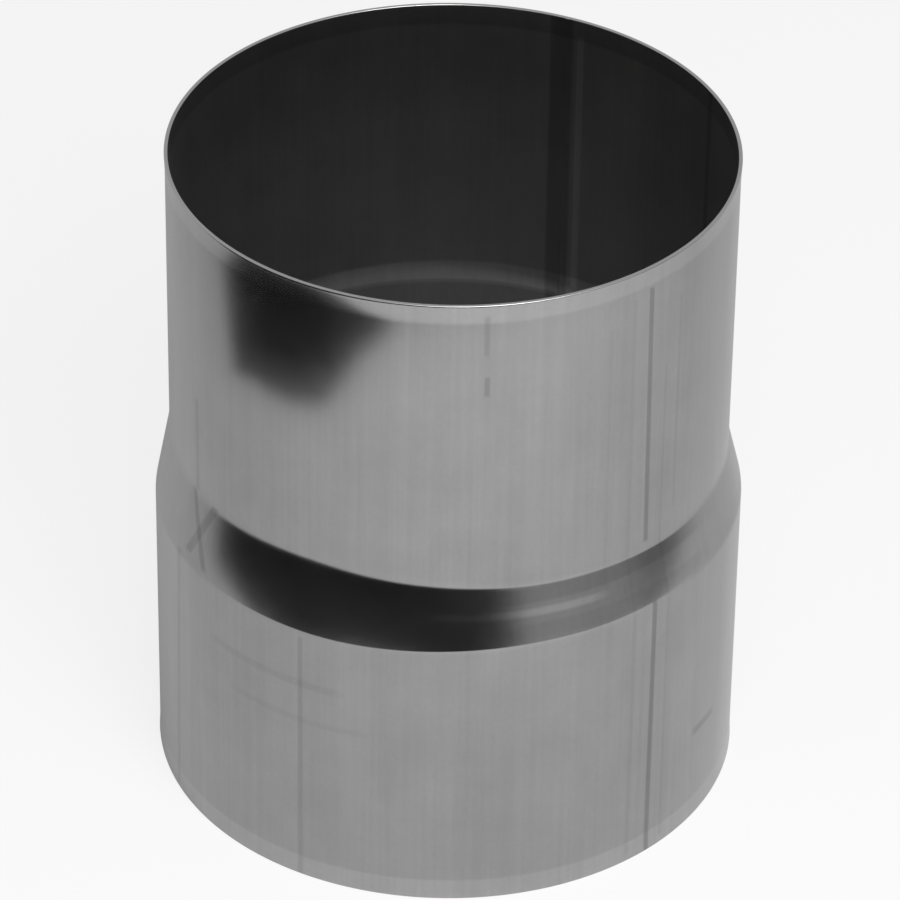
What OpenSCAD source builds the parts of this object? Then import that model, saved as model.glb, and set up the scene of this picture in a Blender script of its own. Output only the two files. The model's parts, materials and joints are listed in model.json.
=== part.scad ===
// Downpipe socket: a short sheet-metal tube that joins two lengths of round downpipe.
// One end is swaged wide and slips over a pipe, the other stays narrow and goes into the next.
// It stands on its wide end, with the centre of the bottom rim at the origin and +Z up.
// Units are millimetres.

/* [Downpipe] */
// Outside diameter of the downpipe that is joined
pipe_d = 100; // [60:1:150]
// Wall of that downpipe
pipe_wall = 0.65; // [0.5:0.05:1]

/* [Sheet] */
// Wall of the socket, the same all over because the shoulder is swaged and not cut
wall = 0.65; // [0.5:0.05:1]

/* [Fits] */
// Gap all round between the wide end and the pipe inside it
socket_gap = 1; // [0.4:0.05:2]
// Gap all round between the narrow end and the pipe outside it
spigot_gap = 0.35; // [0.1:0.05:0.8]

/* [Heights] */
// Wide end, from its rim to the lower corner of the shoulder
socket_len = 53; // [40:0.5:90]
// Shoulder, from its lower corner to its upper one
shoulder_len = 13; // [9:0.5:30]
// Narrow end, from the upper corner of the shoulder to its rim
spigot_len = 55.5; // [40:0.5:90]

/* [Shoulder bends] */
// Outside radius of the bend that rounds the lower corner
crown_r = 8; // [4:1:40]
// Outside radius of the bend that hollows the upper corner
hollow_r = 12; // [4:1:40]

/* [Cut ends] */
// How far each end opens outwards where the tube was cut
flare = 0.12; // [0.05:0.01:0.3]
// Height over which it opens
flare_len = 4; // [2:0.5:8]

/* [Weld seam] */
// Place of the lengthwise seam round the tube, in degrees from +X towards +Y
seam_at = 66; // [0:1:359]
// Width of the weld bead
seam_w = 0.9; // [0.5:0.1:2]
// Height of the bead above the inner face of the wall
seam_h = 0.1; // [0.05:0.01:0.2]

/* [Hidden] */
$fn = 180;

// Outside radii of the two ends, from the pipe that each one meets
socket_r = pipe_d / 2 + socket_gap + wall;
spigot_r = pipe_d / 2 - pipe_wall - spigot_gap;

// Slope of the shoulder between its two bends
slope = atan((socket_r - spigot_r) / shoulder_len);

// Heights of the shoulder's corners, of the bends' centres and of the top rim
lower_corner = socket_len;
upper_corner = lower_corner + shoulder_len;
crown_z = lower_corner - crown_r * tan(slope / 2);
hollow_z = upper_corner + hollow_r * tan(slope / 2);
height = upper_corner + spigot_len;

// Radius of the slow curve that opens each end
flare_r = (pow(flare_len, 2) + pow(flare, 2)) / (2 * flare);

// Steps in each bend of the shoulder and in each opened end
bend_steps = 12;
flare_steps = 4;

// Points on an arc about a centre, from angle a to angle b
function arc(centre, r, a, b, steps) =
    [for (i = [0:steps]) let (t = a + (b - a) * i / steps) centre + r * [cos(t), sin(t)]];

// Points in the opposite order
function backwards(points) = [for (i = [len(points) - 1:-1:0]) points[i]];

// Angle that an opened end turns through, down to its level cut, at a depth under the outside face
function turn(depth) = asin(flare_len / (flare_r + depth));

// Line that runs from rim to rim at a depth under the outside face, as half of the tube's section
function face_line(depth) = concat(
    arc([socket_r + flare_r, flare_len], flare_r + depth, 180 + turn(depth), 180, flare_steps),
    arc([socket_r - crown_r, crown_z], crown_r - depth, 0, slope, bend_steps),
    arc([spigot_r + hollow_r, hollow_z], hollow_r + depth, 180 + slope, 180, bend_steps),
    arc([spigot_r + flare_r, height - flare_len], flare_r + depth, 180, 180 - turn(depth), flare_steps)
);

// Layer of the wall between two depths
module layer(from, to) {
    polygon(concat(face_line(from), backwards(face_line(to))));
}

// Swaged tube, with a wall of the same thickness through the shoulder and the opened ends
module tube() {
    rotate_extrude() layer(0, wall);
}

// Flat bead that the weld leaves inside along the whole tube, rooted in the middle of the wall
module weld_bead() {
    rotate([90, 0, seam_at]) linear_extrude(seam_w, center = true) layer(wall / 2, wall + seam_h);
}

module socket() {
    color([0.62, 0.64, 0.65]) {
        tube();
        weld_bead();
    }
}

socket();
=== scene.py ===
import json
from math import asin, atan, cos, degrees, radians, sin, tan

import bpy
import numpy as np
from mathutils import Matrix, Vector


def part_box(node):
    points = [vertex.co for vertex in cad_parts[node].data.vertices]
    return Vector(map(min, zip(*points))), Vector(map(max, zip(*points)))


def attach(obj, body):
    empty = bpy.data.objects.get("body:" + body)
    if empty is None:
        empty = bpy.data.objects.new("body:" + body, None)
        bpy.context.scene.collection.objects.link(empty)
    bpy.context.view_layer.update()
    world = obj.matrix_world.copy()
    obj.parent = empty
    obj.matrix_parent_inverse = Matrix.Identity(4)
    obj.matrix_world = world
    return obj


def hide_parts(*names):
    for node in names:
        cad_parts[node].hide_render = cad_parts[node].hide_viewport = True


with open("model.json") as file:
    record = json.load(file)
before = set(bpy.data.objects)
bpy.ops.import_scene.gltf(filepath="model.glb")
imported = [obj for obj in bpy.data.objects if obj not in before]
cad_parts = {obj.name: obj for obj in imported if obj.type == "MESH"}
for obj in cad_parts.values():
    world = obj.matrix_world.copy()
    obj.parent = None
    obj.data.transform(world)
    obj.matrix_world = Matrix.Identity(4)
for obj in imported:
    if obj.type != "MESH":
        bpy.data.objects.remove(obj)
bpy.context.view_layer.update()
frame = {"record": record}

MM = 0.001

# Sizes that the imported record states
mounts = {mount["name"]: mount for mount in frame["record"]["mounts"]}
BORE_R = mounts["socket_bore"]["dims"]["r_mm"]
SPIGOT_R = mounts["spigot"]["dims"]["r_mm"]
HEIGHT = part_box("socket")[1].z / MM

# Sizes of the sheet and its opened ends
WALL = 0.65
SOCKET_R = BORE_R + WALL
FLARE = 0.12
FLARE_LEN = 4.0
# Rounding that the shears leave on each cut edge
EDGE_R = 0.1

# Corners and bends of the shoulder, which the swage left longer and softer on the left
LEFT = {"lower": 52.3, "upper": 66.7, "crown": 6.0, "hollow": 18.0}
RIGHT = {"lower": 53.7, "upper": 64.2, "crown": 5.0, "hollow": 6.0}
# Azimuths between which it changes, in front and behind, from 0 in front and positive to the right
FRONT_CHANGE = (-25.0, 25.0)
REAR_CHANGE = (110.0, 220.0)

# Weld seam: its place from +X towards +Y, and the bead that it leaves inside
SEAM_AT = 66.0
SEAM_W = 0.9
SEAM_H = 0.1

# Spacing of the mesh: angle between columns, the finer one at the bead, and height between rows
COLUMN_STEP = 1.0
BEAD_STEP = 0.15
ROW_STEP = 1.6

# Camera, worked out for the photograph's 900 by 900 pixels
IMAGE_PX = 900
SENSOR = 36.0
FOCAL_PX = 5675.4
CAMERA_DOWN = 34.62
CAMERA_ROLL = 0.854
CAMERA_AWAY = 997.6
# Where the middle of the tube falls, right of and above the middle of the picture
MIDDLE_RIGHT_PX = -1.0
MIDDLE_UP_PX = 6.8

# Floor and cards, and how far the camera sees the floor lifted to white
FLOOR_REACH = 3000.0
CARD_REACH = 1500.0
CARD_LIFT = 0.4
FLOOR_GREY = 0.93
FLOOR_LIFT = 0.8

# Near edges on the floor of what the metal mirrors, as corners from the left round to the front
DARK_EDGE = [(-1400, 520), (-315, 92), (-223, 18), (-190, -8), (-188, -46), (-179, -82), (-161, -116),
             (-140, -148), (-115, -178), (-94, -197), (-70, -221), (0, -236), (80, -222)]
DIM_EDGE = [(-190, -8), (-180, -14), (-178, -46), (-167, -78), (-151, -110), (-134, -135), (-115, -178)]
DARK_GREY = 0.02
DIM_GREY = 0.07
# Corners of the dark edge between which the dim card lies, and how far right the dark card reaches
DIM_CORNERS = (3, 8)
DARK_RIGHT = 900
# Grey surroundings on the right beyond a round: where each part starts and ends, and its grey
ROUND_R = 236.0
ROUND_STEPS = 31
RIGHT_PARTS = [(20, 70, 0.46), (70, 93, 0.27), (93, 120, 0.35)]

# Light of the room, and one softbox in front on the right
WORLD_LEVEL = 0.35
LAMP_PLACE = (180.0, -560.0, 560.0)
LAMP_SIZE = 500.0
LAMP_POWER = 5.0

# Marks and painted light outside: azimuth and its half width, lean in degrees over 100 mm, lowest and
# highest point, change
OUTSIDE_MARKS_AND_PAINTED_LIGHT = [
    (43.0, 0.35, -1.5, 66, 117, -0.28),
    (43.7, 0.35, 0, 0, 54, -0.30),
    (38.5, 0.20, 0, 2, 116, -0.06),
    (47.5, 0.20, 0, 2, 100, -0.07),
    (33.0, 0.20, 0, 60, 112, -0.05),
    (51.5, 0.20, 0, 70, 112, -0.06),
    (-28.8, 0.30, 0, 0, 51, -0.14),
    (-65.3, 0.45, 3.8, 1, 53, -0.16),
    (-61.3, 0.50, 0, 67, 85, -0.14),
    (7.0, 0.30, 0, 112, 119, -0.14),
    (7.2, 0.30, 0, 104, 107, -0.20),
    (62.0, 3.50, 0, 18.4, 19.2, -0.22),
    (-36.0, 13.0, 0, 41.2, 42.0, -0.08),
    (-30.0, 12.0, 0, 33.6, 34.2, -0.06),
    (-57.5, 0.80, 60, 55, 66, -0.20),
    (-58.5, 0.60, -60, 54, 66, -0.22),
    (14.0, 15.0, 0, 59.1, 59.7, 0.35),
    # Painted reflection: darker bands across the shoulder on the right, for the dark surroundings it
    # mirrors
    (34.0, 22.0, 0, 61.4, 63.4, -0.16),
    (34.0, 22.0, 0, 55.0, 57.0, -0.08),
    # Painted highlight: lighter bands round both rims, for the brighter floor that the flared ends mirror
    (0.0, 180.0, 0, 0, 3.6, 0.14),
    (0.0, 180.0, 0, 118.4, 121.5, 0.12),
]
# Marks and painted light inside, in the same columns
INSIDE_MARKS_AND_PAINTED_LIGHT = [
    (157.0, 2.0, 0, 0, 121.5, -0.32),
    # Painted highlight: a bright line beside the weld seam, where its edge catches the light
    (152.7, 0.5, 0, 66, 118, 0.30),
    (113.8, 0.5, 0, 66, 121.5, -0.25),
    # Painted reflection: a lighter band where the shoulder inside mirrors the lit floor; painted shade
    # below it and near the top rim
    (0.0, 180.0, 0, 64.0, 67.5, 0.35),
    (0.0, 180.0, 0, 0, 62.5, -0.25),
    (0.0, 180.0, 0, 118.0, 121.5, -0.20),
]
# How far a mark fades out: round the tube in degrees, and along it in millimetres
FADE_ROUND = 0.35
FADE_ALONG = 0.7

# Finish of each face: grey, roughness, how much it is brushed, and how much painted light brightens it
# deep inside, where the wall mirrors the lit floor
OUTSIDE = (0.34, 0.16, 0.95, 1.0)
INSIDE = (0.258, 0.42, 0.6, 1.8)
# Tone of the sheet: its plain part, and the shares of draw lines, broad lines, clouds and grain
PLAIN_SHARE = 0.68
LINES_SHARE = 0.16
BROAD_SHARE = 0.16
CLOUDS_SHARE = 0.22
GRAIN_SHARE = 0.10
# How much the clouds change the roughness, and the heights between which painted light brightens the deep
# part
CLOUDS_ROUGHNESS = 0.06
DEEP_PAINTED_LIGHT_FROM = 119.0
DEEP_PAINTED_LIGHT_TO = 72.0


# Points on an arc in the tube's section, from angle a to angle b in degrees
def arc(centre_r, centre_z, r, a, b, steps):
    turn = np.radians(np.linspace(a, b, steps + 1))
    return [(centre_r + r * cos(t), centre_z + r * sin(t)) for t in turn]


# Points on the straight stretch between two others, without its ends
def straight(low, high, spacing):
    steps = max(1, round(spacing / ROW_STEP))
    share = np.linspace(0, 1, steps + 1)[1:-1]
    return [(low[0] + s * (high[0] - low[0]), low[1] + s * (high[1] - low[1])) for s in share]


# Share from 0 to 1 that eases in and out between two values
def eased(value, start, end):
    share = np.clip((value - start) / (end - start), 0, 1)
    return share * share * (3 - 2 * share)


# Azimuth of an angle round the tube, from -180 to 180 degrees
def azimuth_of(angle):
    return (degrees(angle) + 90 + 180) % 360 - 180


# Corners and bends of the shoulder at an azimuth
def shoulder_at(azimuth):
    to_right = eased(azimuth, *FRONT_CHANGE)
    round_back = azimuth if azimuth > 0 else azimuth + 360
    if REAR_CHANGE[0] < round_back < 360 + FRONT_CHANGE[0]:
        to_right = 1 - eased(round_back, *REAR_CHANGE)
    return {key: LEFT[key] + to_right * (RIGHT[key] - LEFT[key]) for key in LEFT}


# Line from rim to rim at a depth under the outside face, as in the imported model
def face_line(depth, shoulder):
    slope = degrees(atan((SOCKET_R - SPIGOT_R) / (shoulder["upper"] - shoulder["lower"])))
    flare_r = (FLARE_LEN ** 2 + FLARE ** 2) / (2 * FLARE)
    turn = degrees(asin(FLARE_LEN / (flare_r + depth)))
    crown_r, hollow_r = shoulder["crown"], shoulder["hollow"]
    crown_z = shoulder["lower"] - crown_r * tan(radians(slope / 2))
    hollow_z = shoulder["upper"] + hollow_r * tan(radians(slope / 2))
    bends = [
        arc(SOCKET_R + flare_r, FLARE_LEN, flare_r + depth, 180 + turn, 180, 10),
        arc(SOCKET_R - crown_r, crown_z, crown_r - depth, 0, slope, 14),
        arc(SPIGOT_R + hollow_r, hollow_z, hollow_r + depth, 180 + slope, 180, 14),
        arc(SPIGOT_R + flare_r, HEIGHT - FLARE_LEN, flare_r + depth, 180, 180 - turn, 10),
    ]
    line = bends[0]
    for bend, spacing in zip(bends[1:], (48.0, 10.0, 50.0)):
        line = line + straight(line[-1], bend[0], spacing) + bend
    return line


# Rounded cut end between the last points of two face lines, walked from the first to the second
def cut_end(start, end, side):
    away = 1 if end[0] > start[0] else -1
    z = start[1]
    quarter = np.radians(np.linspace(0, 90, 5))
    first = [(start[0] + away * EDGE_R * (1 - cos(t)), z - side * EDGE_R * (1 - sin(t))) for t in quarter]
    last = [(end[0] - away * EDGE_R * (1 - cos(t)), z - side * EDGE_R * (1 - sin(t))) for t in quarter]
    return first + last[::-1]


# Closed section of the wall: up the outside, over the top rim, down the inside, under the bottom rim
def section(shoulder):
    outside = face_line(0, shoulder)
    inside = face_line(WALL, shoulder)
    top = cut_end(outside[-1], inside[-1], 1)
    bottom = cut_end(inside[0], outside[0], -1)
    points = outside[1:-1] + top + inside[1:-1][::-1] + bottom
    face = len(outside) - 2
    inner = [False] * face + [False] * 5 + [True] * 5 + [True] * face + [True] * 5 + [False] * 5
    cut = [False] * face + [True] * 10 + [False] * face + [True] * 10
    return np.array(points), np.array(inner), np.array(cut)


# Angles of the columns round the tube, close together at the weld bead
def column_angles():
    span = 3 * COLUMN_STEP
    coarse = np.arange(SEAM_AT + span, SEAM_AT + 360 - span + 0.5 * COLUMN_STEP, COLUMN_STEP)
    fine = np.arange(SEAM_AT - span + BEAD_STEP, SEAM_AT + span - 0.5 * BEAD_STEP, BEAD_STEP)
    return np.radians(np.concatenate([coarse, fine + 360]))


# Tube as one closed mesh of rings, with the bead raised on the inside
def tube_mesh():
    angles = column_angles()
    sections = [section(shoulder_at(azimuth_of(angle))) for angle in angles]
    radius = np.stack([points[:, 0] for points, _, _ in sections], 1)
    height = np.stack([points[:, 1] for points, _, _ in sections], 1)
    _, inner, cut = sections[0]
    off_seam = (np.degrees(angles) - SEAM_AT + 180) % 360 - 180
    across = np.radians(off_seam) * SPIGOT_R
    bead = SEAM_H * np.clip(1 - (across / (SEAM_W / 2)) ** 2, 0, 1)
    radius = radius - np.where(inner[:, None], bead[None, :], 0)
    xyz = np.stack([radius * np.cos(angles), radius * np.sin(angles), height], -1) * MM
    rows, columns = radius.shape
    index = np.arange(rows * columns).reshape(rows, columns)
    near, far = index, np.roll(index, -1, 0)
    quads = np.stack([near, np.roll(near, -1, 1), np.roll(far, -1, 1), far], -1).reshape(-1, 4)
    mesh = bpy.data.meshes.new("zinc_tube")
    mesh.from_pydata(xyz.reshape(-1, 3).tolist(), [], quads.tolist())
    mesh.update()
    both_cut = cut & np.roll(cut, -1)
    slots = np.repeat(np.where(both_cut, 2, inner), columns)
    mesh.polygons.foreach_set("material_index", slots)
    mesh.polygons.foreach_set("use_smooth", np.ones(len(mesh.polygons), bool))
    return mesh


# Nodes of one material, with short calls for the ones that are used
class Nodes:
    def __init__(self, name):
        self.material = bpy.data.materials.new(name)
        self.material.use_nodes = True
        self.tree = self.material.node_tree
        self.shader = self.tree.nodes["Principled BSDF"]

    def add(self, kind, **settings):
        node = self.tree.nodes.new(kind)
        for key, value in settings.items():
            setattr(node, key, value)
        return node

    def feed(self, socket, value):
        if isinstance(value, bpy.types.NodeSocket):
            self.tree.links.new(value, socket)
        else:
            socket.default_value = value

    def math(self, operation, *values):
        node = self.add("ShaderNodeMath", operation=operation)
        for socket, value in zip(node.inputs, values):
            self.feed(socket, value)
        return node.outputs[0]

    def ramp(self, value, low, high, to_low=0.0, to_high=1.0):
        node = self.add("ShaderNodeMapRange", interpolation_type="SMOOTHSTEP")
        for socket, item in zip(node.inputs, (value, low, high, to_low, to_high)):
            self.feed(socket, item)
        return node.outputs[0]

    def noise(self, where, scale, detail=2.0, roughness=0.5):
        node = self.add("ShaderNodeTexNoise")
        self.feed(node.inputs["Vector"], where)
        node.inputs["Scale"].default_value = scale
        node.inputs["Detail"].default_value = detail
        node.inputs["Roughness"].default_value = roughness
        return node.outputs["Fac"]

    def stretched(self, where, scale):
        node = self.add("ShaderNodeVectorMath", operation="MULTIPLY")
        self.feed(node.inputs[0], where)
        node.inputs[1].default_value = scale
        return node.outputs[0]


# One inside a stretch of a value, and fading to zero beyond its ends
def within(n, value, middle, half, fade):
    off = n.math("ABSOLUTE", n.math("SUBTRACT", value, middle))
    return n.ramp(off, half, half + fade, 1.0, 0.0)


# Factor on the brightness of the sheet from a list of marks, painted highlights, painted reflections and
# painted shade
def marks_and_painted_light_factor(n, place, marks_and_painted_light):
    axes = n.add("ShaderNodeSeparateXYZ")
    n.feed(axes.inputs[0], place)
    turn = n.math("ARCTAN2", axes.outputs[0], n.math("MULTIPLY", axes.outputs[1], -1.0))
    azimuth = n.math("MULTIPLY", turn, degrees(1))
    height = n.math("DIVIDE", axes.outputs[2], MM)
    factor = 1.0
    for middle, half, lean, low, high, change in marks_and_painted_light:
        centre = (low + high) / 2
        upright = azimuth
        if lean:
            leaning = n.math("MULTIPLY", n.math("SUBTRACT", height, centre), lean / 100)
            upright = n.math("SUBTRACT", azimuth, leaning)
        round_tube = within(n, upright, middle, half, FADE_ROUND * (1 + half))
        along = within(n, height, centre, (high - low) / 2, FADE_ALONG)
        share = n.math("MULTIPLY", round_tube, along)
        factor = n.math("MULTIPLY", factor, n.math("MULTIPLY_ADD", share, change, 1.0))
    return factor, height


# Bare zinc sheet with draw lines along the tube, marks of handling, a cloudy bloom, and painted
# highlights, reflections and shade in its colour
def sheet_metal(name, finish_and_painted_light, marks_and_painted_light):
    grey, roughness, brushed, deep_painted_light = finish_and_painted_light
    n = Nodes(name)
    place = n.add("ShaderNodeTexCoord").outputs["Object"]
    tangent = n.add("ShaderNodeTangent", direction_type="RADIAL", axis="Z")
    n.feed(n.shader.inputs["Tangent"], tangent.outputs[0])
    lines = n.noise(n.stretched(place, (1, 1, 0.02)), 1100, 3)
    broad = n.noise(n.stretched(place, (1, 1, 0.05)), 130, 2)
    clouds = n.noise(place, 85, 4, 0.6)
    grain = n.noise(place, 1500, 2, 0.7)
    tone = n.math("MULTIPLY", lines, LINES_SHARE)
    tone = n.math("MULTIPLY_ADD", broad, BROAD_SHARE, tone)
    tone = n.math("MULTIPLY_ADD", clouds, CLOUDS_SHARE, tone)
    tone = n.math("MULTIPLY_ADD", grain, GRAIN_SHARE, tone)
    level = n.math("MULTIPLY", n.math("ADD", PLAIN_SHARE, tone), grey)
    factor, height = marks_and_painted_light_factor(n, place, marks_and_painted_light)
    # Painted highlights, reflections and shade from the list darken and lighten the colour here
    level = n.math("MULTIPLY", level, factor)
    # Painted light: brighter deep inside, where the wall mirrors the lit floor
    level = n.math("MULTIPLY", level, n.ramp(height, DEEP_PAINTED_LIGHT_TO, DEEP_PAINTED_LIGHT_FROM, deep_painted_light, 1.0))
    colour = n.add("ShaderNodeCombineColor")
    for channel in range(3):
        n.feed(colour.inputs[channel], level)
    n.feed(n.shader.inputs["Base Color"], colour.outputs[0])
    least = roughness - CLOUDS_ROUGHNESS / 2
    n.feed(n.shader.inputs["Roughness"], n.math("MULTIPLY_ADD", clouds, CLOUDS_ROUGHNESS, least))
    n.shader.inputs["Metallic"].default_value = 1.0
    n.shader.inputs["Anisotropic"].default_value = brushed
    return n.material


# Clean zinc that the shears leave on the cut rims
def cut_metal():
    n = Nodes("cut_edge")
    n.shader.inputs["Base Color"].default_value = (0.75, 0.75, 0.75, 1)
    n.shader.inputs["Metallic"].default_value = 1.0
    n.shader.inputs["Roughness"].default_value = 0.3
    return n.material


# Plain dull material for the cards
def dull(name, grey):
    n = Nodes(name)
    n.shader.inputs["Base Color"].default_value = (grey, grey, grey, 1)
    n.shader.inputs["Roughness"].default_value = 1.0
    n.shader.inputs["Specular IOR Level"].default_value = 0.0
    return n.material


# Pale floor, lifted towards white where the camera sees it, with the shadow kept
def pale_floor():
    material = dull("floor", FLOOR_GREY)
    tree = material.node_tree
    shader = tree.nodes["Principled BSDF"]
    glow = tree.nodes.new("ShaderNodeEmission")
    path = tree.nodes.new("ShaderNodeLightPath")
    share = tree.nodes.new("ShaderNodeMath")
    share.operation = "MULTIPLY"
    share.inputs[1].default_value = FLOOR_LIFT
    mix = tree.nodes.new("ShaderNodeMixShader")
    tree.links.new(path.outputs["Is Camera Ray"], share.inputs[0])
    tree.links.new(share.outputs[0], mix.inputs[0])
    tree.links.new(shader.outputs[0], mix.inputs[1])
    tree.links.new(glow.outputs[0], mix.inputs[2])
    tree.links.new(mix.outputs[0], tree.nodes["Material Output"].inputs["Surface"])
    return material


# Flat sheet on the floor with the given corners in millimetres
def flat_sheet(name, corners, lift, material):
    mesh = bpy.data.meshes.new(name)
    mesh.from_pydata([(x * MM, y * MM, lift * MM) for x, y in corners], [], [tuple(range(len(corners)))])
    mesh.materials.append(material)
    piece = bpy.data.objects.new(name, mesh)
    bpy.context.scene.collection.objects.link(piece)
    return piece


# Point on the floor at an azimuth and a distance from the tube's axis
def floor_point(azimuth, away):
    turn = radians(azimuth)
    return (away * sin(turn), -away * cos(turn))


# Card on the floor that shows in the metal only
def card(name, corners, grey):
    piece = flat_sheet(name, corners, CARD_LIFT, dull(name, grey))
    piece.visible_camera = False
    piece.visible_diffuse = False
    piece.visible_shadow = False
    piece.visible_transmission = False


# Cards that stand for what the metal mirrors: dark on the left and in front, grey on the right
def add_cards():
    first, last = DIM_CORNERS
    beyond = [(DARK_RIGHT, -CARD_REACH), (-CARD_REACH, -CARD_REACH)]
    card("dark_card", DARK_EDGE + beyond, DARK_GREY)
    card("dim_card", DIM_EDGE + DARK_EDGE[last - 1:first:-1], DIM_GREY)
    for start, end, grey in RIGHT_PARTS:
        turns = np.linspace(start, end, ROUND_STEPS)
        near = [floor_point(turn, ROUND_R) for turn in turns]
        far = [floor_point(turn, CARD_REACH) for turn in turns[::-1]]
        card(f"grey_card_{start}", near + far, grey)


def add_stage():
    corners = [(-FLOOR_REACH, -FLOOR_REACH), (FLOOR_REACH, -FLOOR_REACH)]
    corners = corners + [(FLOOR_REACH, FLOOR_REACH), (-FLOOR_REACH, FLOOR_REACH)]
    flat_sheet("floor", corners, 0, pale_floor())
    add_cards()


def add_light():
    world = bpy.data.worlds.new("world")
    bpy.context.scene.world = world
    world.use_nodes = True
    tree = world.node_tree
    background = tree.nodes["Background"]
    background.inputs["Color"].default_value = (1, 1, 1, 1)
    path = tree.nodes.new("ShaderNodeLightPath")
    level = tree.nodes.new("ShaderNodeMapRange")
    level.inputs["To Min"].default_value = WORLD_LEVEL
    level.inputs["To Max"].default_value = 1.0
    tree.links.new(path.outputs["Is Camera Ray"], level.inputs["Value"])
    tree.links.new(level.outputs["Result"], background.inputs["Strength"])
    data = bpy.data.lights.new("softbox", "AREA")
    data.shape = "SQUARE"
    data.size = LAMP_SIZE * MM
    data.energy = LAMP_POWER
    lamp = bpy.data.objects.new("softbox", data)
    bpy.context.scene.collection.objects.link(lamp)
    place = Vector(LAMP_PLACE) * MM
    lamp.location = place
    lamp.rotation_euler = (-place).to_track_quat("-Z", "Y").to_euler()


def add_camera():
    down = radians(CAMERA_DOWN)
    roll = radians(CAMERA_ROLL)
    ahead = Vector((0, cos(down), -sin(down)))
    level = Vector((1, 0, 0))
    upright = Vector((0, sin(down), cos(down)))
    right = cos(roll) * level + sin(roll) * upright
    up = -sin(roll) * level + cos(roll) * upright
    middle = Vector((0, 0, HEIGHT / 2))
    aside = right * MIDDLE_RIGHT_PX + up * MIDDLE_UP_PX
    place = middle - CAMERA_AWAY * ahead - aside * CAMERA_AWAY / FOCAL_PX
    data = bpy.data.cameras.new("camera")
    data.sensor_width = SENSOR
    data.lens = FOCAL_PX * SENSOR / IMAGE_PX
    data.clip_start = 0.05
    data.clip_end = 50
    camera = bpy.data.objects.new("camera", data)
    bpy.context.scene.collection.objects.link(camera)
    camera.matrix_world = Matrix((right, up, -ahead)).transposed().to_4x4()
    camera.location = place * MM
    bpy.context.scene.camera = camera


def add_tube():
    mesh = tube_mesh()
    mesh.materials.append(sheet_metal("zinc_outside", OUTSIDE, OUTSIDE_MARKS_AND_PAINTED_LIGHT))
    mesh.materials.append(sheet_metal("zinc_inside", INSIDE, INSIDE_MARKS_AND_PAINTED_LIGHT))
    mesh.materials.append(cut_metal())
    tube = bpy.data.objects.new("zinc_tube", mesh)
    bpy.context.scene.collection.objects.link(tube)
    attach(tube, "root")
    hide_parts("socket")
    return tube


add_camera()
add_stage()
add_light()
add_tube()
bpy.context.scene.view_settings.view_transform = "Standard"
